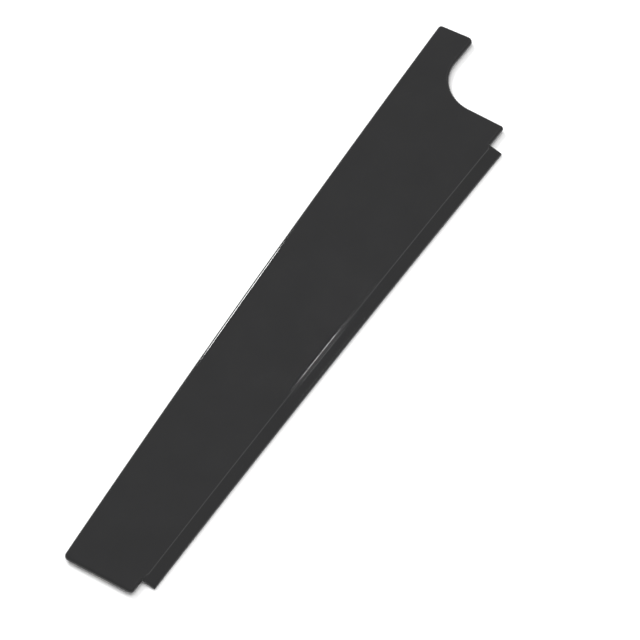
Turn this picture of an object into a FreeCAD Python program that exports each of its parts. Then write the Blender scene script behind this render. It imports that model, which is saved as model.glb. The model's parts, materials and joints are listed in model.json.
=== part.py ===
"""Stick-on kick plate: one bent plate, five foam tapes under it and their release liners.

The plate is a tapered flat panel of one sheet thickness.  A narrow lip is bent down along one long
edge.  A quarter-round corner is cut away at the wide end, which leaves a tab.  +X runs along the
plate towards the tab, +Y from the lip to the outer edge and +Z up out of the face.  The origin is
the centre of the surface that the plate lies on.  Lengths are millimetres and angles degrees.
"""

import FreeCAD
import Part
import os
from math import atan2, cos, hypot, radians, sin, sqrt, tan

import Sketcher

DRIVING = {
    # the flat panel
    "plate_length": 614.2,
    "wide_width": 101.4,
    "narrow_width": 65.7,
    "sheet_thickness": 3.0,
    "outer_edge_radius": 15000.0,
    "end_slant": 1.4,
    "bend_offset": 44.0,
    # the lip, bent down along the panel's inner edge
    "lip_start": 290.2,
    "lip_end": 223.7,
    "lip_reach": 12.5,
    "lip_angle": 17.2,
    "bend_inner_radius": 9.0,
    "inner_edge_radius": 19900.0,
    "lip_root": 6.0,
    # the corner cut-out and its tab
    "wide_end": 245.4,
    "cutout_radius": 34.8,
    "tab_slant": 6.0,
    # rounded corners and edges
    "narrow_outer_corner": 5.0,
    "narrow_inner_corner": 4.0,
    "tab_outer_corner": 3.0,
    "tab_inner_corner": 5.0,
    "wide_end_corner": 2.8,
    "edge_round": 2.4,
    # the foam tapes and their liners
    "tape_thickness": 3.2,
    "tape_width": 12.0,
    "tape_gap": 3.0,
    "edge_inset": 5.0,
    "end_inset": 10.0,
    "liner_thickness": 0.2,
    "pull_tab": 7.0,
    "pull_tab_corner": 3.0,
}

# Formulas that several features share.
UNDERSIDE = "(size.tape_thickness + size.liner_thickness)"
LIP_MIDDLE = "(size.lip_end - size.lip_start) / 2"
HALF_LIP_ANGLE = "(size.lip_start + size.lip_end) / size.inner_edge_radius * 90 / pi"
BOW_AXIS = f"-size.bend_offset - size.inner_edge_radius * cos({HALF_LIP_ANGLE})"

# Where the two long tapes begin and end along the plate.
LONG_START = "(size.end_inset - size.plate_length / 2)"
LONG_END = "(size.wide_end - size.end_inset)"
LONG_MIDDLE = f"({LONG_START} + {LONG_END}) / 2"
LONG_LENGTH = f"({LONG_END} - {LONG_START})"
EDGE_SLOPE = "(size.wide_width - size.narrow_width) / size.plate_length"
CROSS_START = "(size.edge_inset + size.tape_width + size.tape_gap)"
WIDE_CROSS_END = "(2 * size.cutout_radius - size.edge_inset)"
PATCH_START = f"({LONG_END} + size.tape_gap)"
PATCH_END = "(size.plate_length / 2 - size.end_inset - size.tape_gap)"
TAB_WIDTH = "(size.wide_width - 2 * size.cutout_radius)"

# Each tape: its middle's x and y, the turn of its pull direction, its length that way and width.
TAPES = {
    "bend_side": (
        LONG_MIDDLE,
        "size.edge_inset + size.tape_width / 2 - size.bend_offset",
        "0 deg",
        LONG_LENGTH,
        "size.tape_width",
    ),
    "outer_edge": (
        LONG_MIDDLE,
        f"size.narrow_width + {EDGE_SLOPE} * ({LONG_MIDDLE} + size.plate_length / 2)"
        " - size.edge_inset - size.tape_width / 2 - size.bend_offset",
        f"180 deg + atan({EDGE_SLOPE})",
        LONG_LENGTH,
        "size.tape_width",
    ),
    "narrow_end": (
        f"{LONG_START} + size.tape_width / 2",
        "size.narrow_width / 2 - size.bend_offset",
        "180 deg",
        "size.tape_width",
        f"size.narrow_width - 2 * {CROSS_START}",
    ),
    "wide_end": (
        f"{LONG_END} - size.tape_width / 2",
        f"({CROSS_START} + {WIDE_CROSS_END}) / 2 - size.bend_offset",
        "0 deg",
        "size.tape_width",
        f"{WIDE_CROSS_END} - {CROSS_START}",
    ),
    "tab": (
        f"({PATCH_START} + {PATCH_END}) / 2",
        f"size.wide_width - {TAB_WIDTH} / 2 - size.bend_offset",
        "0 deg",
        f"{PATCH_END} - {PATCH_START}",
        f"{TAB_WIDTH} - 2 * size.edge_inset",
    ),
}

# The sketcher's numbers for a curve's points and for the sketch's own origin.
START, END, CENTRE = 1, 2, 3
ORIGIN = (-1, START)

# A strip's half length and half width as first drawn, before its dimensions are set.
DRAWN_LENGTH, DRAWN_WIDTH = 10.0, 5.0
# How much larger than its height an upright edge's bounding box may be.
SLACK = 0.01


def make_sheet(doc):
    """A spreadsheet named size, with one alias and its plain number per row."""
    sheet = doc.addObject("Spreadsheet::Sheet", "size")
    for row, (alias, value) in enumerate(DRIVING.items(), start=1):
        sheet.set(f"A{row}", alias)
        sheet.set(f"B{row}", str(value))
        sheet.setAlias(f"B{row}", alias)
    doc.recompute()
    return sheet


def add_body(doc, label):
    body = doc.addObject("PartDesign::Body", label)
    body.Label = label
    return body


def add_sketch(body, name, role, **offsets):
    """A sketch on one of the body's own origin planes, moved by the offsets x, y and z."""
    sketch = body.newObject("Sketcher::SketchObject", name)
    plane = next(f for f in body.Origin.OriginFeatures if f.Role == role)
    sketch.AttachmentSupport = (plane, [""])
    sketch.MapMode = "FlatFace"
    for axis, formula in offsets.items():
        sketch.setExpression("AttachmentOffset.Base." + axis, formula)
    return sketch


def add_line(sketch, start, end):
    ends = (FreeCAD.Vector(*start, 0), FreeCAD.Vector(*end, 0))
    return sketch.addGeometry(Part.LineSegment(*ends), False)


def add_arc(sketch, centre, start, end):
    """An arc that runs counter-clockwise round its centre from start to end."""
    radius = hypot(start[0] - centre[0], start[1] - centre[1])
    circle = Part.Circle(FreeCAD.Vector(*centre, 0), FreeCAD.Vector(0, 0, 1), radius)
    angles = [atan2(p[1] - centre[1], p[0] - centre[0]) for p in (start, end)]
    return sketch.addGeometry(Part.ArcOfCircle(circle, *angles), False)


def constrain(sketch, kind, *items):
    """One geometric constraint of the same kind for each tuple of items."""
    for item in items:
        sketch.addConstraint(Sketcher.Constraint(kind, *item))


def dimension(sketch, name, formula, kind, *items):
    """A dimensional constraint bound to a formula of the sheet."""
    index = sketch.addConstraint(Sketcher.Constraint(kind, *items))
    sketch.renameConstraint(index, name)
    sketch.setExpression("Constraints." + name, formula)


def place_point(sketch, name, curve, point, x=None, y=None):
    """Dimensions a point's position from the sketch's origin."""
    drawn = sketch.getPoint(curve, point)
    if x is not None:
        dimension(sketch, name + "_x", x, "DistanceX", *ORIGIN, curve, point, drawn.x)
    if y is not None:
        dimension(sketch, name + "_y", y, "DistanceY", *ORIGIN, curve, point, drawn.y)


def set_radius(sketch, name, curve, alias):
    drawn = sketch.Geometry[curve].Radius
    dimension(sketch, name + "_radius", "size." + alias, "Radius", curve, drawn)


def draw_panel(sketch, dim):
    """The panel's outline: two slightly curved long edges, two leaning ends and the cut-out.

    Returns the outline's sharp corners as (curve, point) pairs, under their radii's aliases.
    """
    inner_y = -dim.bend_offset
    narrow_x, tab_x = -dim.plate_length / 2, dim.plate_length / 2
    middle_x = (dim.lip_end - dim.lip_start) / 2
    half_lip = (dim.lip_start + dim.lip_end) / 2
    axis_y = inner_y - sqrt(dim.inner_edge_radius**2 - half_lip**2)

    def on_inner_edge(x):
        return (x, axis_y + sqrt(dim.inner_edge_radius**2 - (x - middle_x) ** 2))

    lean = tan(radians(dim.end_slant))
    tab_width = dim.wide_width - 2 * dim.cutout_radius
    narrow_outer = (narrow_x, inner_y + dim.narrow_width)
    narrow_inner = on_inner_edge(narrow_x + dim.narrow_width * lean)
    wide_inner = on_inner_edge(dim.wide_end)
    arc_start = (dim.wide_end - dim.cutout_radius * lean, inner_y + dim.cutout_radius)
    arc_centre = (arc_start[0] + dim.cutout_radius, arc_start[1])
    arc_end = (arc_centre[0], inner_y + 2 * dim.cutout_radius)
    tab_inner = (tab_x, arc_end[1])
    tab_outer = (tab_x - tab_width * tan(radians(dim.tab_slant)), inner_y + dim.wide_width)
    chord = hypot(tab_outer[0] - narrow_outer[0], tab_outer[1] - narrow_outer[1])
    across = ((tab_outer[1] - narrow_outer[1]) / chord, (narrow_outer[0] - tab_outer[0]) / chord)
    drop = sqrt(dim.outer_edge_radius**2 - (chord / 2) ** 2)
    outer_centre = (
        (narrow_outer[0] + tab_outer[0]) / 2 + across[0] * drop,
        (narrow_outer[1] + tab_outer[1]) / 2 + across[1] * drop,
    )

    inner_edge = add_arc(sketch, (middle_x, axis_y), wide_inner, narrow_inner)
    wide_end = add_line(sketch, wide_inner, arc_start)
    cutout = add_arc(sketch, arc_centre, arc_end, arc_start)
    tab_side = add_line(sketch, arc_end, tab_inner)
    tab_end = add_line(sketch, tab_inner, tab_outer)
    outer_edge = add_arc(sketch, outer_centre, tab_outer, narrow_outer)
    narrow_end = add_line(sketch, narrow_outer, narrow_inner)

    constrain(
        sketch,
        "Coincident",
        (inner_edge, START, wide_end, START),
        (tab_side, END, tab_end, START),
        (tab_end, END, outer_edge, START),
        (outer_edge, END, narrow_end, START),
        (narrow_end, END, inner_edge, END),
        (wide_end, END, cutout, END),
    )
    constrain(sketch, "Tangent", (cutout, START, tab_side, START))
    constrain(sketch, "Horizontal", (tab_side,))
    set_radius(sketch, "inner_edge", inner_edge, "inner_edge_radius")
    set_radius(sketch, "outer_edge", outer_edge, "outer_edge_radius")
    set_radius(sketch, "cutout", cutout, "cutout_radius")
    place_point(sketch, "bow", inner_edge, CENTRE, LIP_MIDDLE, BOW_AXIS)
    place_point(sketch, "wide", wide_end, START, "size.wide_end")
    place_point(
        sketch,
        "arc",
        cutout,
        END,
        "size.wide_end - size.cutout_radius * tan(size.end_slant)",
        "size.cutout_radius - size.bend_offset",
    )
    place_point(sketch, "arc_end", cutout, START, None, "2 * size.cutout_radius - size.bend_offset")
    place_point(sketch, "tab", tab_end, START, "size.plate_length / 2")
    place_point(
        sketch,
        "tab_outer",
        tab_end,
        END,
        "size.plate_length / 2 - (size.wide_width - 2 * size.cutout_radius) * tan(size.tab_slant)",
        "size.wide_width - size.bend_offset",
    )
    place_point(
        sketch,
        "narrow",
        narrow_end,
        START,
        "-size.plate_length / 2",
        "size.narrow_width - size.bend_offset",
    )
    place_point(
        sketch,
        "narrow_inner",
        narrow_end,
        END,
        "size.narrow_width * tan(size.end_slant) - size.plate_length / 2",
    )
    return {
        "narrow_outer_corner": (outer_edge, END),
        "narrow_inner_corner": (inner_edge, END),
        "tab_outer_corner": (outer_edge, START),
        "tab_inner_corner": (tab_side, END),
        "wide_end_corner": (inner_edge, START),
    }


def draw_lip(sketch, dim):
    """The bent section, with the sketch's vertical axis on the far axis of the bow."""
    root = dim.inner_edge_radius + dim.lip_root
    bend = dim.inner_edge_radius
    under = dim.tape_thickness + dim.liner_thickness
    top = under + dim.sheet_thickness
    centre_z = under - dim.bend_inner_radius
    outer_radius = dim.bend_inner_radius + dim.sheet_thickness
    dip, run = sin(radians(dim.lip_angle)), cos(radians(dim.lip_angle))
    bend_out = (bend - outer_radius * dip, centre_z + outer_radius * run)
    bend_in = (bend - dim.bend_inner_radius * dip, centre_z + dim.bend_inner_radius * run)
    straight = (dim.lip_reach - outer_radius * dip) / run
    tip_out = (bend_out[0] - straight * run, bend_out[1] - straight * dip)
    tip_in = (bend_in[0] - straight * run, bend_in[1] - straight * dip)

    top_flat = add_line(sketch, (root, top), (bend, top))
    outer_bend = add_arc(sketch, (bend, centre_z), (bend, top), bend_out)
    lip_top = add_line(sketch, bend_out, tip_out)
    tip = add_line(sketch, tip_out, tip_in)
    lip_under = add_line(sketch, tip_in, bend_in)
    inner_bend = add_arc(sketch, (bend, centre_z), (bend, under), bend_in)
    under_flat = add_line(sketch, (bend, under), (root, under))
    root_side = add_line(sketch, (root, under), (root, top))

    constrain(
        sketch,
        "Tangent",
        (top_flat, END, outer_bend, START),
        (outer_bend, END, lip_top, START),
        (lip_under, END, inner_bend, END),
        (inner_bend, START, under_flat, START),
    )
    constrain(
        sketch,
        "Coincident",
        (lip_top, END, tip, START),
        (tip, END, lip_under, START),
        (under_flat, END, root_side, START),
        (root_side, END, top_flat, START),
        (outer_bend, CENTRE, inner_bend, CENTRE),
    )
    constrain(sketch, "Horizontal", (top_flat,), (under_flat,))
    constrain(sketch, "Vertical", (root_side,))
    constrain(sketch, "Perpendicular", (lip_top, tip))
    constrain(sketch, "Parallel", (lip_top, lip_under))
    place_point(
        sketch,
        "root",
        root_side,
        START,
        "size.inner_edge_radius + size.lip_root",
        UNDERSIDE,
    )
    place_point(sketch, "top", root_side, END, None, UNDERSIDE + " + size.sheet_thickness")
    place_point(sketch, "bend", outer_bend, CENTRE, "size.inner_edge_radius")
    place_point(sketch, "tip", tip, START, "size.inner_edge_radius - size.lip_reach")
    set_radius(sketch, "inner_bend", inner_bend, "bend_inner_radius")
    leaning = radians(180 + dim.lip_angle)
    dimension(sketch, "lip_lean", "(180 + size.lip_angle) * 1 deg", "Angle", lip_top, leaning)


def fillet(body, name, edges, alias):
    """Rounds edges of the body's last feature to a radius of the sheet."""
    base = body.Tip
    numbered = enumerate(base.Shape.Edges, start=1)
    names = [f"Edge{n}" for n, edge in numbered if any(edge.isSame(other) for other in edges)]
    feature = body.newObject("PartDesign::Fillet", name)
    feature.Base = (base, names)
    feature.setExpression("Radius", "size." + alias)
    body.Document.recompute()


def upright_edge(shape, point):
    """The upright edge over one point of the plan."""

    def distance(edge):
        return hypot(edge.CenterOfMass.x - point.x, edge.CenterOfMass.y - point.y)

    upright = [e for e in shape.Edges if e.BoundBox.DiagonalLength < e.BoundBox.ZLength + SLACK]
    return min(upright, key=distance)


def rim_of_top(shape):
    """The edges of a shape's flat upper face."""
    return max(shape.Faces, key=lambda face: face.CenterOfMass.z).Edges


def lip_outer_edge(shape):
    """The lip's upper long edge: the lowest edge of its upper cone-shaped face."""
    cones = [face for face in shape.Faces if face.Surface.TypeId == "Part::GeomCone"]
    upper = max(cones, key=lambda face: face.CenterOfMass.z)
    return min(upper.Edges, key=lambda edge: edge.CenterOfMass.z)


def make_plate(doc, dim):
    """The plate: a padded panel with rounded corners and rim, then the bent lip."""
    body = add_body(doc, "kick_plate")
    outline = add_sketch(body, "panel_outline", "XY_Plane", z=UNDERSIDE)
    corners = draw_panel(outline, dim)
    panel = body.newObject("PartDesign::Pad", "panel")
    panel.Profile = outline
    panel.setExpression("Length", "size.sheet_thickness")
    doc.recompute()

    for alias, corner in corners.items():
        edge = upright_edge(body.Tip.Shape, outline.getPoint(*corner))
        fillet(body, alias + "_round", [edge], alias)
    fillet(body, "face_rim_round", rim_of_top(body.Tip.Shape), "edge_round")

    section = add_sketch(body, "lip_section", "YZ_Plane", x=BOW_AXIS, z=LIP_MIDDLE)
    draw_lip(section, dim)
    lip = body.newObject("PartDesign::Revolution", "bent_lip")
    lip.Profile = section
    lip.ReferenceAxis = (section, ["V_Axis"])
    lip.Midplane = True
    lip.setExpression("Angle", "2 * " + HALF_LIP_ANGLE)
    doc.recompute()
    fillet(body, "lip_rim_round", [lip_outer_edge(lip.Shape)], "edge_round")
    return body


def make_strip(doc, label, place, start, end, width, bottom, thickness, corner=None):
    """A flat strip along its own +X, from start to end, with its far corners rounded."""
    body = add_body(doc, label)
    outline = add_sketch(body, label + "_outline", "XY_Plane")
    drawn = [
        (-DRAWN_LENGTH, -DRAWN_WIDTH),
        (DRAWN_LENGTH, -DRAWN_WIDTH),
        (DRAWN_LENGTH, DRAWN_WIDTH),
        (-DRAWN_LENGTH, DRAWN_WIDTH),
    ]
    sides = [add_line(outline, a, b) for a, b in zip(drawn, drawn[1:] + drawn[:1])]
    for side, following in zip(sides, sides[1:] + sides[:1]):
        constrain(outline, "Coincident", (side, END, following, START))
    constrain(outline, "Horizontal", (sides[0],), (sides[2],))
    constrain(outline, "Vertical", (sides[1],), (sides[3],))
    place_point(outline, "near", sides[0], START, f"-({start})", f"-({width}) / 2")
    place_point(outline, "far", sides[1], END, end, f"({width}) / 2")
    pad = body.newObject("PartDesign::Pad", label + "_pad")
    pad.Profile = outline
    pad.setExpression("Length", thickness)
    x, y, turn = place
    body.Placement = FreeCAD.Placement(FreeCAD.Vector(), FreeCAD.Vector(0, 0, 1), 1)
    body.setExpression("Placement.Base.x", x)
    body.setExpression("Placement.Base.y", y)
    body.setExpression("Placement.Base.z", bottom)
    body.setExpression("Placement.Rotation.Angle", turn)
    doc.recompute()
    if corner:
        box = pad.Shape.BoundBox
        ends = [FreeCAD.Vector(box.XMax, side) for side in (box.YMin, box.YMax)]
        fillet(body, label + "_corners", [upright_edge(pad.Shape, p) for p in ends], corner)
    return body


def make_tapes(doc):
    """The foam tapes under the panel, and a liner with a pull tab under each."""
    bodies = []
    for name, (x, y, turn, length, width) in TAPES.items():
        half = f"({length}) / 2"
        place = (x, y, turn)
        foam = (half, half, width, "size.liner_thickness", "size.tape_thickness")
        film = (half, half + " + size.pull_tab", width, "0", "size.liner_thickness")
        bodies.append(make_strip(doc, name + "_tape", place, *foam))
        bodies.append(make_strip(doc, name + "_liner", place, *film, "pull_tab_corner"))
    return bodies


def check(doc, bodies):
    """Stops the build if any object failed or any piece isn't one valid solid."""
    failed = [o.Name for o in doc.Objects if {"Invalid", "Error"} & set(o.State)]
    if failed:
        raise RuntimeError(f"these objects failed: {failed}")
    for body in bodies:
        shape = body.Shape
        if shape.isNull() or not shape.isValid() or len(shape.Solids) != 1:
            raise RuntimeError(f"{body.Label} isn't one valid solid")
        print(f"{body.Label}: {shape.Volume:.0f} mm3")


def main():
    doc = FreeCAD.newDocument("kick_plate")
    sheet = make_sheet(doc)
    bodies = [make_plate(doc, sheet), *make_tapes(doc)]
    check(doc, bodies)
    os.makedirs("parts", exist_ok=True)
    for body in bodies:
        body.Shape.exportStep(f"parts/{body.Label}.step")


main()
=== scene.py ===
"""Looks of the stick-on kick plate: the bent gloss plate, its foam tapes and their release liners.

Lengths are metres and angles degrees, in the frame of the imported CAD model: +X along the plate from
its narrow end to its tab, +Y from the bent lip to the outer edge, +Z up out of the face.
"""

import json
import math

import bmesh
import bpy
import numpy as np
from mathutils import Matrix, Vector, noise
from mathutils.geometry import delaunay_2d_cdt


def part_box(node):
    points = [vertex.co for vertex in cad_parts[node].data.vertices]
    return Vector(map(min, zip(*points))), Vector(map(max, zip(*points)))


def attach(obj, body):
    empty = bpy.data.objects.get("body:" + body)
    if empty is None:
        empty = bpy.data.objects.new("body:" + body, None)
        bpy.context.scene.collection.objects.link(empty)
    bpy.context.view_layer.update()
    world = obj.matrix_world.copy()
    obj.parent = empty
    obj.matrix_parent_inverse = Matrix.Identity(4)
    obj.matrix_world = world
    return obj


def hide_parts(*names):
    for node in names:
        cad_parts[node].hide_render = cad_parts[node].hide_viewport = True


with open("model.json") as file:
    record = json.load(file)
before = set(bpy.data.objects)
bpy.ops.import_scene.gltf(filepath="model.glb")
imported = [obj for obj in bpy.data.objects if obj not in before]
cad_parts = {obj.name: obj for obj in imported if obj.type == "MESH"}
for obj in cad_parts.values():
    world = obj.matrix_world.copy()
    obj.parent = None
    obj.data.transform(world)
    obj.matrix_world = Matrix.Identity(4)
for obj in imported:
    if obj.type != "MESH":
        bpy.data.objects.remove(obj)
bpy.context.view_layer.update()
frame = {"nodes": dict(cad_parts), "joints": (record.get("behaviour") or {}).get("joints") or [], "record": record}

MM = 0.001

# The plate's driving dimensions, as in the CAD model.
SHEET = 3 * MM
PLATE_LENGTH = 614.2 * MM
WIDE_WIDTH, NARROW_WIDTH = 101.4 * MM, 65.7 * MM
BEND_LINE = -44 * MM
BEND_INNER_RADIUS = 9 * MM
LIP_ANGLE = math.radians(17.2)
LIP_START, LIP_END = -290.2 * MM, 223.7 * MM
LIP_REACH = 12.5 * MM
BEND_BOW_RADIUS, OUTER_BOW_RADIUS = 19.9, 15.0
WIDE_END = 245.4 * MM
CUTOUT_RADIUS = 34.8 * MM
END_LEAN, TAB_LEAN = math.tan(math.radians(1.4)), math.tan(math.radians(6))
EDGE_ROUND, UNDER_ROUND = 2.4 * MM, 0.35 * MM
CORNER_ROUND = {
    "narrow_inner": 4 * MM,
    "lip_root": 0.5 * MM,
    "lip_tip": 0.6 * MM,
    "wide_inner": 2.8 * MM,
    "cutout": CUTOUT_RADIUS,
    "tab_inner": 5 * MM,
    "tab_outer": 3 * MM,
    "narrow_outer": 5 * MM,
}

# What follows from them and from the frame.
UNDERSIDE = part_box("tab_tape")[1].z
NARROW_X, TAB_X = -PLATE_LENGTH / 2, PLATE_LENGTH / 2
OUTER_Y = BEND_LINE + WIDE_WIDTH
TAB_INNER_Y = BEND_LINE + 2 * CUTOUT_RADIUS
TAB_OUTER_X = TAB_X - (OUTER_Y - TAB_INNER_Y) * TAB_LEAN
MIDDLE_RADIUS = BEND_INNER_RADIUS + SHEET / 2
BEND_RUN = MIDDLE_RADIUS * LIP_ANGLE
LIP_STRAIGHT = (LIP_REACH - (BEND_INNER_RADIUS + SHEET) * math.sin(LIP_ANGLE)) / math.cos(LIP_ANGLE)
LIP_TIP = BEND_LINE - BEND_RUN - LIP_STRAIGHT

# The meshes: points round an edge and over the bend, and how far apart they are elsewhere.
EDGE_STEPS, BEND_STEPS = 10, 12
FLAT_MARGIN = 0.5 * MM
PANEL_SPACING, LIP_SPACING = 8 * MM, 1.6 * MM

# The strips: the tapes' skin of adhesive, the hollow of their cut sides and its torn cells, and
# how far the liners' pull tabs have lifted and creased.
SKIN, SIDE_HOLLOW, SIDE_STEPS = 0.12 * MM, 0.18 * MM, 10
TORN_DEPTH, TORN_SIZE = 0.09 * MM, 0.9 * MM
TAPE_CORNER, FILM_CORNER, PULL_TAB_CORNER = 0.4 * MM, 0.3 * MM, 3 * MM
FILM_EDGE_ROUND, FILM_MARGIN = 0.05 * MM, 0.3 * MM
TAB_LIFT, TAB_LIFT_POWER, TAB_SKEW = 1.3 * MM, 1.7, 0.35
TAB_CREASE, CREASE_LENGTH, CREASE_WIDTH = 0.5 * MM, 5 * MM, 4 * MM

# The light.
SURROUND = 0.66
SOFT_LAMP_DISTANCE, STREAK_LAMP_DISTANCE = 3.0, 2.0
LAMP_TARGET_HEIGHT = 6 * MM

# The camera.
AZIMUTH, ELEVATION = -56.604, 55.365
CAMERA_DISTANCE = 9.0
FRAME_WIDTH = 0.522
SENSOR = 36.0
AIM = Vector((-0.753 * MM, -23.993 * MM, 6.4 * MM))


# ---------------------------------------------------------------- outlines


class OutlinePoint:
    """A point of an outline with its outward normal.  A point of a corner knows the corner's arc."""

    def __init__(self, place, normal, radius=0.0, turn=0.0, middle=None):
        self.place, self.normal = place, normal
        self.radius, self.turn, self.middle = radius, turn, middle

    def inset(self, distance):
        """The point on the outline's inward offset; a tight convex corner ends in a mitre."""
        if self.middle is None or self.turn < 0 or distance <= self.radius:
            return self.place - self.normal * distance
        centre = self.place - self.normal * self.radius
        return centre - self.middle * (distance - self.radius) / math.cos(self.turn / 2)


def spoke(angle):
    return Vector((math.cos(angle), math.sin(angle)))


def rounded_outline(corners, step=math.radians(6), longest=8 * MM, chord=1.5 * MM):
    """OutlinePoints, counter-clockwise, of a closed outline given as (x, y, radius) corners."""
    arcs = []
    for index, (x, y, radius) in enumerate(corners):
        here = Vector((x, y))
        arriving = (here - Vector(corners[index - 1][:2])).normalized()
        leaving = (Vector(corners[(index + 1) % len(corners)][:2]) - here).normalized()
        turn = math.atan2(arriving.cross(leaving), arriving.dot(leaving))
        side = math.copysign(1, turn)
        inward = Vector((-arriving.y, arriving.x)) * side
        centre = here - arriving * radius * math.tan(abs(turn) / 2) + inward * radius
        first = math.atan2(-inward.y, -inward.x)
        steps = max(2, math.ceil(abs(turn) / step), math.ceil(abs(turn) * radius / chord))
        middle = spoke(first + turn / 2)
        arc = []
        for i in range(steps + 1):
            out = spoke(first + turn * i / steps)
            arc.append(OutlinePoint(centre + out * radius, out * side, radius, turn, middle))
        arcs.append(arc)
    points = []
    for arc, following in zip(arcs, arcs[1:] + arcs[:1]):
        points += arc
        start, end = arc[-1].place, following[0].place
        pieces = max(1, math.ceil((end - start).length / longest))
        normal = arc[-1].normal
        points += [OutlinePoint(start.lerp(end, i / pieces), normal) for i in range(1, pieces)]
    return points


def deep_inside(points, ring, depth):
    """Those of the points that lie inside a closed ring and at least a depth away from it."""
    starts = np.array([tuple(p) for p in ring])
    ends = np.roll(starts, -1, axis=0)
    runs = ends - starts
    lengths = np.maximum((runs**2).sum(axis=1), 1e-18)
    kept = []
    for point in points:
        x, y = point
        away = np.array((x, y)) - starts
        share = np.clip((away * runs).sum(axis=1) / lengths, 0, 1)
        nearest = np.hypot(*(away - runs * share[:, None]).T).min()
        crossed = (starts[:, 1] > y) != (ends[:, 1] > y)
        at = starts[crossed, 0] + away[crossed, 1] * runs[crossed, 0] / runs[crossed, 1]
        if nearest > depth and (at > x).sum() % 2:
            kept.append(point)
    return kept


def spread(start, end, spacing):
    """Evenly spaced numbers from start to end, no further apart than spacing."""
    pieces = max(1, math.ceil(abs(end - start) / spacing))
    return [start + (end - start) * i / pieces for i in range(pieces + 1)]


# ---------------------------------------------------------------- sheet-like solids


def fill(mesh, loop, ring, height, up, net):
    """Fills a loop of vertices with triangles through the net points that lie inside its ring."""
    inner = deep_inside(net, ring, 0.3 * MM)
    edges = [(i, (i + 1) % len(ring)) for i in range(len(ring))]
    places, _, faces, sources, _, _ = delaunay_2d_cdt(list(ring) + inner, edges, [], 1, 1e-9)
    made = {}

    def vertex(index):
        source = min(sources[index])
        if source < len(ring):
            return loop[source]
        if index not in made:
            made[index] = mesh.verts.new((*places[index], height))
        return made[index]

    for face in faces:
        corners = [vertex(i) for i in face]
        if len(set(corners)) == 3:
            mesh.faces.new(corners if up else corners[::-1])


def slab(outline, profile, columns, rows):
    """A closed solid from an outline and its edge's profile, with a net of points on both faces."""
    mesh = bmesh.new()
    loops = [[mesh.verts.new((*p.inset(i), height)) for p in outline] for i, height in profile]
    for lower, upper in zip(loops, loops[1:]):
        for i, vertex in enumerate(lower):
            j = (i + 1) % len(lower)
            mesh.faces.new((vertex, lower[j], upper[j], upper[i]))
    net = [Vector((x, y)) for y in rows for x in columns]
    for end, up in ((0, False), (-1, True)):
        inset, height = profile[end]
        fill(mesh, loops[end], [p.inset(inset) for p in outline], height, up, net)
    bmesh.ops.remove_doubles(mesh, verts=mesh.verts[:], dist=2e-6)
    return mesh


def edge_profile(thickness, under, over, steps, flat):
    """(inset, height) pairs up a sheet's edge, rounded below and above, with a flat margin."""
    turns = [math.pi / 2 * i / steps for i in range(steps + 1)]
    lower = [(under * (1 - math.sin(a)), under * (1 - math.cos(a))) for a in turns]
    upper = [(over * (1 - math.cos(a)), thickness - over * (1 - math.sin(a))) for a in turns]
    return [(under + flat, 0.0), *lower, *upper, (over + flat, thickness)]


def body_of_node(node):
    bodies = frame["record"]["behaviour"]["bodies"]
    return next(body for body, nodes in bodies.items() if node in nodes)


def finished(mesh, name, node, slot_name, *materials):
    """A mesh as a smooth piece that rides on its CAD node's body and stands for the node."""
    bmesh.ops.recalc_face_normals(mesh, faces=mesh.faces[:])
    data = bpy.data.meshes.new(name)
    mesh.to_mesh(data)
    mesh.free()
    data.shade_smooth()
    for material in materials:
        data.materials.append(material)
    piece = bpy.data.objects.new(name, data)
    bpy.context.scene.collection.objects.link(piece)
    weighted = piece.modifiers.new("weighted_normals", "WEIGHTED_NORMAL")
    weighted.weight = 80
    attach(piece, body_of_node(node))
    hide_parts(node)
    return piece


# ---------------------------------------------------------------- the plate


def plate_outline():
    """The plate's flat pattern: the panel, with the lip unfolded below the bend line."""
    corners = {
        "narrow_inner": [(NARROW_X + NARROW_WIDTH * END_LEAN, BEND_LINE)],
        "lip_root": [(LIP_START, BEND_LINE), (LIP_END, BEND_LINE)],
        "lip_tip": [(LIP_START, LIP_TIP), (LIP_END, LIP_TIP)],
        "wide_inner": [(WIDE_END, BEND_LINE)],
        "cutout": [(WIDE_END - 2 * CUTOUT_RADIUS * END_LEAN, TAB_INNER_Y)],
        "tab_inner": [(TAB_X, TAB_INNER_Y)],
        "tab_outer": [(TAB_OUTER_X, OUTER_Y)],
        "narrow_outer": [(NARROW_X, BEND_LINE + NARROW_WIDTH)],
    }
    order = [
        ("narrow_inner", 0),
        ("lip_root", 0),
        ("lip_tip", 0),
        ("lip_tip", 1),
        ("lip_root", 1),
        ("wide_inner", 0),
        ("cutout", 0),
        ("tab_inner", 0),
        ("tab_outer", 0),
        ("narrow_outer", 0),
    ]
    return rounded_outline([(*corners[name][i], CORNER_ROUND[name]) for name, i in order])


def bow(x, y):
    """How far the slight curve of the two long edges moves a point of the flat pattern in +Y."""
    lip_middle, half_lip = (LIP_START + LIP_END) / 2, (LIP_END - LIP_START) / 2
    at_bend = (half_lip**2 - (x - lip_middle) ** 2) / (2 * BEND_BOW_RADIUS)
    middle, half = (NARROW_X + TAB_OUTER_X) / 2, (TAB_OUTER_X - NARROW_X) / 2
    at_outer = (half**2 - (x - middle) ** 2) / (2 * OUTER_BOW_RADIUS)
    slope = (WIDE_WIDTH - NARROW_WIDTH) / (TAB_OUTER_X - NARROW_X)
    outer_y = BEND_LINE + NARROW_WIDTH + slope * (x - NARROW_X)
    share = max(0.0, (y - BEND_LINE) / (outer_y - BEND_LINE))
    return at_bend + (at_outer - at_bend) * share


def warp(x, y):
    """The sheet's own slight unevenness: a few hundredths of a millimetre over a hand's width."""
    slow = noise.noise(Vector((x / 0.14, y / 0.07, 3.1)))
    quick = noise.noise(Vector((x / 0.045, y / 0.03, 8.7)))
    return 0.035 * MM * slow + 0.008 * MM * quick


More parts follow.
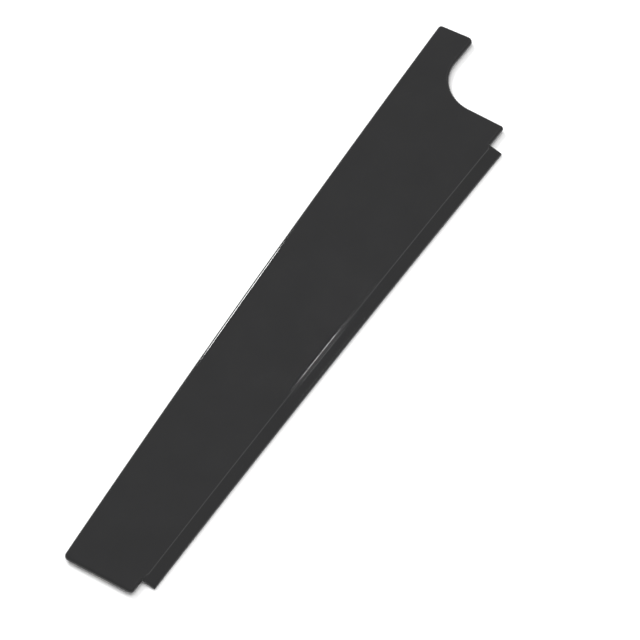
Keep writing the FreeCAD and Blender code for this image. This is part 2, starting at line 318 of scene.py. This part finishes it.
def fold(place):
    """Where a point of the flat sheet lies once its lip is bent down and its edges are bowed."""
    out = BEND_LINE - place.y
    uneven = warp(place.x, place.y)
    if out <= 0:
        y, z = place.y, UNDERSIDE + place.z
    else:
        angle = min(LIP_ANGLE, out / MIDDLE_RADIUS)
        straight = max(0.0, out - BEND_RUN)
        radius = BEND_INNER_RADIUS + place.z
        y = BEND_LINE - radius * math.sin(angle) - straight * math.cos(angle)
        z = radius * math.cos(angle) - straight * math.sin(angle) + UNDERSIDE - BEND_INNER_RADIUS
    return Vector((place.x, y + bow(place.x, place.y), z + uneven))


def make_plate():
    """The plate: its flat pattern with a net of rows that is close over the bend, then folded."""
    profile = edge_profile(SHEET, UNDER_ROUND, EDGE_ROUND, EDGE_STEPS, FLAT_MARGIN)
    columns = spread(NARROW_X, TAB_X, PANEL_SPACING)
    bend_rows = [BEND_LINE - BEND_RUN * i / BEND_STEPS for i in range(-2, BEND_STEPS + 3)]
    rows = bend_rows + spread(bend_rows[-1], LIP_TIP, LIP_SPACING)[1:-1]
    rows += spread(BEND_LINE + 2.5 * MM, OUTER_Y, PANEL_SPACING)
    mesh = slab(plate_outline(), profile, columns, rows)
    for vertex in mesh.verts:
        vertex.co = fold(vertex.co)
    return finished(mesh, "plate", "kick_plate", "gloss_sheet", gloss_sheet())


# ---------------------------------------------------------------- tapes and liners


class Strip:
    """A CAD strip's own frame: along its liner's pull, across it, and its extents both ways."""

    def __init__(self, name, part):
        self.node = f"{name}_{part}"
        joint = next(j for j in frame["joints"] if j["name"] == name + "_liner_pull")
        self.along = Vector(joint["axis"][:2]).normalized()
        self.across = Vector((-self.along.y, self.along.x))
        corners = [v.co for v in frame["nodes"][self.node].data.vertices]
        runs = [self.along.dot(c.xy) for c in corners]
        sides = [self.across.dot(c.xy) for c in corners]
        heights = [c.z for c in corners]
        self.start, self.end = min(runs), max(runs)
        self.low, self.high = min(sides), max(sides)
        self.bottom, self.top = min(heights), max(heights)

    def outline(self, near_radius, far_radius):
        return rounded_outline(
            [
                (self.start, self.low, near_radius),
                (self.end, self.low, far_radius),
                (self.end, self.high, far_radius),
                (self.start, self.high, near_radius),
            ],
            longest=3 * MM,
        )

    def place(self, point):
        flat = self.along * point.x + self.across * point.y
        return Vector((flat.x, flat.y, point.z))


def refined(outline, longest):
    """The same outline with extra points along its straight runs."""
    points = []
    for here, after in zip(outline, outline[1:] + outline[:1]):
        points.append(here)
        pieces = math.ceil((after.place - here.place).length / longest)
        for i in range(1, pieces):
            points.append(OutlinePoint(here.place.lerp(after.place, i / pieces), here.normal))
    return points


def ragged(co, offset):
    """The small torn-cell steps of a foam's cut side."""
    return TORN_DEPTH * noise.noise(Vector((co.x + offset, co.y, co.z)) / TORN_SIZE)


def make_tape(name):
    """A foam tape: cut sides with open cells, and a smooth skin of adhesive above and below."""
    strip = Strip(name, "tape")
    thickness = strip.top - strip.bottom
    margin = FLAT_MARGIN
    profile = [(margin, 0.0), (SIDE_HOLLOW, 0.0), (SIDE_HOLLOW, SKIN)]
    for i in range(1, SIDE_STEPS):
        share = i / SIDE_STEPS
        inset = SIDE_HOLLOW * (1 - math.sin(math.pi * share))
        profile.append((inset, SKIN + (thickness - 2 * SKIN) * share))
    profile += [(SIDE_HOLLOW, thickness - SKIN), (SIDE_HOLLOW, thickness), (margin, thickness)]
    columns = spread(strip.start, strip.end, 10 * MM)
    rows = spread(strip.low, strip.high, 3 * MM)
    outline = refined(strip.outline(TAPE_CORNER, TAPE_CORNER), 0.7 * MM)
    mesh = slab(outline, profile, columns, rows)
    for vertex in mesh.verts:
        co = vertex.co.copy()
        if SKIN * 1.5 < co.z < thickness - SKIN * 1.5:
            co.xy += Vector((ragged(co, 0.0), ragged(co, 5.0)))
        co.z += strip.bottom
        vertex.co = strip.place(co)
    for face in mesh.faces:
        height = face.calc_center_median().z - strip.bottom
        face.material_index = int(height < SKIN or height > thickness - SKIN)
    return finished(mesh, name + "_foam", strip.node, "foam", foam(), adhesive())


def make_liner(name):
    """A release liner: a thin film with a pull tab that has lifted a little."""
    strip, tape = Strip(name, "liner"), Strip(name, "tape")
    thickness = strip.top - strip.bottom
    tab = strip.end - tape.end
    profile = edge_profile(thickness, FILM_EDGE_ROUND, FILM_EDGE_ROUND, 2, FILM_MARGIN)
    columns = spread(strip.start, tape.end - 2 * MM, 12 * MM)
    columns += spread(tape.end - 1.5 * MM, strip.end, 0.6 * MM)
    rows = spread(strip.low, strip.high, 1.5 * MM)
    outline = refined(strip.outline(FILM_CORNER, PULL_TAB_CORNER), 0.8 * MM)
    mesh = slab(outline, profile, columns, rows)
    for vertex in mesh.verts:
        co = vertex.co.copy()
        lifted = max(0.0, (co.x - tape.end) / tab)
        skew = 1 + TAB_SKEW * (co.y - strip.low) / (strip.high - strip.low)
        crease = noise.noise(Vector((co.x / CREASE_LENGTH, co.y / CREASE_WIDTH, tape.end * 40)))
        co.z += strip.bottom + lifted**TAB_LIFT_POWER * (TAB_LIFT * skew + TAB_CREASE * crease)
        vertex.co = strip.place(co)
    return finished(mesh, name + "_film", strip.node, "liner_film", liner_film())


# ---------------------------------------------------------------- materials


class Nodes:
    """A material's node tree, with short ways to add what these materials share."""

    def __init__(self, name):
        self.material = bpy.data.materials.new(name)
        self.material.use_nodes = True
        self.tree = self.material.node_tree
        self.shader = self.tree.nodes["Principled BSDF"]
        self.place = self.add("ShaderNodeTexCoord").outputs["Object"]

    def add(self, kind, links=None, **values):
        """A node of a kind; links go into its named inputs, and values set its properties."""
        node = self.tree.nodes.new(kind)
        for key, value in values.items():
            setattr(node, key, value)
        for key, value in (links or {}).items():
            if isinstance(value, bpy.types.NodeSocket):
                self.tree.links.new(value, node.inputs[key])
            else:
                node.inputs[key].default_value = value
        return node

    def stretched(self, stretch=1.0, turn=0.0):
        """The piece's own coordinates in millimetres, turned, then stretched along X."""
        links = {
            "Vector": self.place,
            "Scale": (stretch * MM, MM, MM),
            "Rotation": (0, 0, turn),
        }
        mapping = self.add("ShaderNodeMapping", links, vector_type="TEXTURE")
        return mapping.outputs["Vector"]

    def noise(self, size, detail=2.0, stretch=1.0, turn=0.0):
        """Noise whose blotches are about size millimetres across."""
        links = {
            "Vector": self.stretched(stretch, turn),
            "Scale": 1 / size,
            "Detail": detail,
            "Roughness": 0.55,
        }
        return self.add("ShaderNodeTexNoise", links).outputs["Fac"]

    def cells(self, size):
        """Distance from the middle of the nearest of cells about size millimetres across."""
        links = {"Vector": self.stretched(), "Scale": 1 / size}
        return self.add("ShaderNodeTexVoronoi", links).outputs["Distance"]

    def ranged(self, value, low, high, to_low, to_high):
        links = {
            "Value": value,
            "From Min": low,
            "From Max": high,
            "To Min": to_low,
            "To Max": to_high,
        }
        return self.add("ShaderNodeMapRange", links).outputs["Result"]

    def maths(self, operation, a, b):
        return self.add("ShaderNodeMath", {0: a, 1: b}, operation=operation).outputs[0]

    def colour(self, factor, dark, light):
        ramp = self.add("ShaderNodeMix", data_type="RGBA")
        self.tree.links.new(factor, ramp.inputs["Factor"])
        ramp.inputs[6].default_value = (*dark, 1)
        ramp.inputs[7].default_value = (*light, 1)
        self.tree.links.new(ramp.outputs[2], self.shader.inputs["Base Color"])

    def bump(self, height, distance, strength=1.0):
        links = {"Height": height, "Distance": distance, "Strength": strength}
        node = self.add("ShaderNodeBump", links)
        self.tree.links.new(node.outputs["Normal"], self.shader.inputs["Normal"])

    def rough(self, value):
        self.tree.links.new(value, self.shader.inputs["Roughness"])


def gloss_sheet():
    """Gloss black sheet: a faint orange peel, a few hairline scuffs and handling smudges."""
    nodes = Nodes("gloss_sheet")
    smudges = nodes.noise(34, 3)
    hairlines = []
    for turn, size in ((0.4, 0.5), (1.3, 0.7), (2.5, 0.6)):
        streaks = nodes.noise(size, 1, 80, turn)
        patches = nodes.noise(26, 1, turn=turn)
        sharp = nodes.ranged(streaks, 0.70, 0.76, 0, 1)
        hairlines.append(nodes.maths("MULTIPLY", sharp, nodes.ranged(patches, 0.5, 0.62, 0, 1)))
    scuffs = nodes.maths("MAXIMUM", nodes.maths("MAXIMUM", *hairlines[:2]), hairlines[2])
    base = nodes.ranged(smudges, 0.35, 0.7, 0.03, 0.06)
    nodes.rough(nodes.maths("ADD", base, nodes.maths("MULTIPLY", scuffs, 0.06)))
    nodes.colour(nodes.maths("ADD", smudges, scuffs), (0.0047, 0.0047, 0.0051), (0.0085, 0.0085, 0.009))
    peel = nodes.maths("ADD", nodes.noise(2.6, 2), nodes.maths("MULTIPLY", scuffs, -0.15))
    nodes.bump(peel, 0.012 * MM, 0.5)
    nodes.shader.inputs["IOR"].default_value = 1.5
    return nodes.material


def foam():
    """Dark closed-cell foam, cut through its cells, with painted shade darkening the cells' pits."""
    nodes = Nodes("foam")
    pores = nodes.cells(0.35)
    # Darker at the cells' middles, where the bump makes pits: painted shade in the pits. The noise adds random
    # tone.
    nodes.colour(nodes.maths("ADD", pores, nodes.noise(3, 2)), (0.05, 0.05, 0.053), (0.12, 0.12, 0.125))
    nodes.rough(nodes.ranged(pores, 0, 0.8, 0.8, 0.95))
    nodes.bump(pores, 0.12 * MM)
    return nodes.material


def adhesive():
    """The clear, slightly glossy skin of adhesive on the foam."""
    nodes = Nodes("adhesive")
    blotches = nodes.noise(1.5, 3)
    nodes.colour(blotches, (0.06, 0.06, 0.063), (0.1, 0.1, 0.1))
    nodes.rough(nodes.ranged(blotches, 0.3, 0.7, 0.18, 0.38))
    nodes.bump(blotches, 0.03 * MM)
    return nodes.material


def liner_film():
    """Milky buff release film: satin, with fine lengthways drawing lines and a few creases."""
    nodes = Nodes("liner_film")
    drawn = nodes.noise(0.8, 2, 20)
    blotches = nodes.noise(9, 3)
    nodes.colour(blotches, (0.54, 0.51, 0.44), (0.64, 0.61, 0.54))
    nodes.rough(nodes.ranged(drawn, 0.3, 0.7, 0.16, 0.3))
    nodes.bump(nodes.maths("ADD", drawn, blotches), 0.02 * MM)
    return nodes.material


def floor_white():
    """A plain matt white floor."""
    nodes = Nodes("floor_white")
    nodes.colour(nodes.noise(60, 2), (0.88, 0.88, 0.88), (0.91, 0.91, 0.91))
    nodes.shader.inputs["Roughness"].default_value = 0.95
    nodes.shader.inputs["Specular IOR Level"].default_value = 0
    return nodes.material


# ---------------------------------------------------------------- stage


def make_floor():
    mesh = bmesh.new()
    bmesh.ops.create_grid(mesh, x_segments=1, y_segments=1, size=40)
    data = bpy.data.meshes.new("floor")
    mesh.to_mesh(data)
    mesh.free()
    data.materials.append(floor_white())
    floor = bpy.data.objects.new("floor", data)
    bpy.context.scene.collection.objects.link(floor)


def camera_back():
    """The direction from the object to the camera."""
    a, e = math.radians(AZIMUTH), math.radians(ELEVATION)
    return Vector((math.sin(a) * math.cos(e), -math.cos(a) * math.cos(e), math.sin(e)))


def aim(thing, target, direction, distance, level=None):
    """Places a camera or lamp at a distance in a direction from its target, facing it.

    Its own X axis follows the level direction, or is horizontal.
    """
    back = Vector(direction).normalized()
    side = Vector(level or Vector((0, 0, 1)).cross(back))
    side = (side - back * side.dot(back)).normalized()
    thing.matrix_world = Matrix((side, back.cross(side), back)).transposed().to_4x4()
    thing.location = Vector(target) + back * distance
    bpy.context.scene.collection.objects.link(thing)


def make_camera():
    data = bpy.data.cameras.new("camera")
    data.sensor_width = SENSOR
    data.lens = SENSOR * CAMERA_DISTANCE / FRAME_WIDTH
    data.clip_start, data.clip_end = 0.1, 60
    camera = bpy.data.objects.new("camera", data)
    aim(camera, AIM, camera_back(), CAMERA_DISTANCE)
    bpy.context.scene.camera = camera


def make_lamp(name, target, direction, distance, size, brightness, level):
    """A rectangular area lamp, as bright per area at any size, which the camera doesn't see."""
    data = bpy.data.lights.new(name, "AREA")
    data.shape = "RECTANGLE"
    data.size, data.size_y = size
    data.energy = brightness * math.pi * data.size * data.size_y
    lamp = bpy.data.objects.new(name, data)
    lamp.visible_camera = False
    aim(lamp, target, direction, distance, level)
    return lamp


def make_lights():
    """An even white surround and two soft lamps that aren't seen in reflections."""
    world = bpy.data.worlds.new("world")
    world.use_nodes = True
    background = world.node_tree.nodes["Background"]
    background.inputs["Color"].default_value = (1, 1, 1, 1)
    background.inputs["Strength"].default_value = SURROUND
    bpy.context.scene.world = world
    bpy.context.scene.view_settings.view_transform = "Standard"
    origin, level = (0, 0, 0), (1, 0, 0)
    for name, direction, size, brightness in (
        ("key", (0.27, 0.68, 0.62), (1.5, 1.0), 13.5),
        ("fill", (0, 0, 1), (3.0, 3.0), 2.0),
    ):
        lamp = make_lamp(name, origin, direction, SOFT_LAMP_DISTANCE, size, brightness, level)
        lamp.visible_glossy = False


def mirrored(tilt, line):
    """The direction, tilted from straight up towards -Y, that a level line mirrors to the camera."""
    back = camera_back()
    along = -back.dot(line)
    sideways = Vector((line.y, -line.x, 0))
    angle = math.radians(tilt)
    rest = math.sqrt(1 - along**2)
    return line * along + (sideways * math.sin(angle) + Vector((0, 0, math.cos(angle)))) * rest


def make_streak_lamps():
    """Small lamps that show only as thin bright lines on the outer edge, the bend and the lip.

    Each has the line it follows, the spot (x, y) in millimetres that mirrors it to the camera, its
    tilt, its size along and across the line, and its brightness.
    """
    lip = Vector((1, 0, 0))
    outer = Vector((PLATE_LENGTH, WIDE_WIDTH - NARROW_WIDTH, 0)).normalized()
    lamps = {
        "outer_edge_streak": (outer, (-26, 40), -37, (0.134, 0.38), 48),
        "bend_streak": (lip, (-37, -44), -18.4, (0.058, 0.03), 45),
        "fold_streak": (lip, (-36, -48), 11.0, (0.062, 0.05), 5),
        "fold_glint": (lip, (-34, -46), 0.0, (0.05, 0.06), 2),
        "lip_edge_streak": (lip, (-34, -54), 18.0, (0.09, 0.03), 8),
        "bend_sheen": (lip, (-30, -46), -5.5, (1.6, 0.14), 1.2),
    }
    for name, (line, (x, y), tilt, size, brightness) in lamps.items():
        spot = (x * MM, y * MM, LAMP_TARGET_HEIGHT)
        direction = mirrored(tilt, line)
        lamp = make_lamp(name, spot, direction, STREAK_LAMP_DISTANCE, size, brightness, line)
        lamp.visible_diffuse = False


# ---------------------------------------------------------------- the scene

make_camera()
make_floor()
make_lights()
make_streak_lamps()
make_plate()
for joint in frame["joints"]:
    strip_name = joint["name"].removesuffix("_liner_pull")
    make_tape(strip_name)
    make_liner(strip_name)
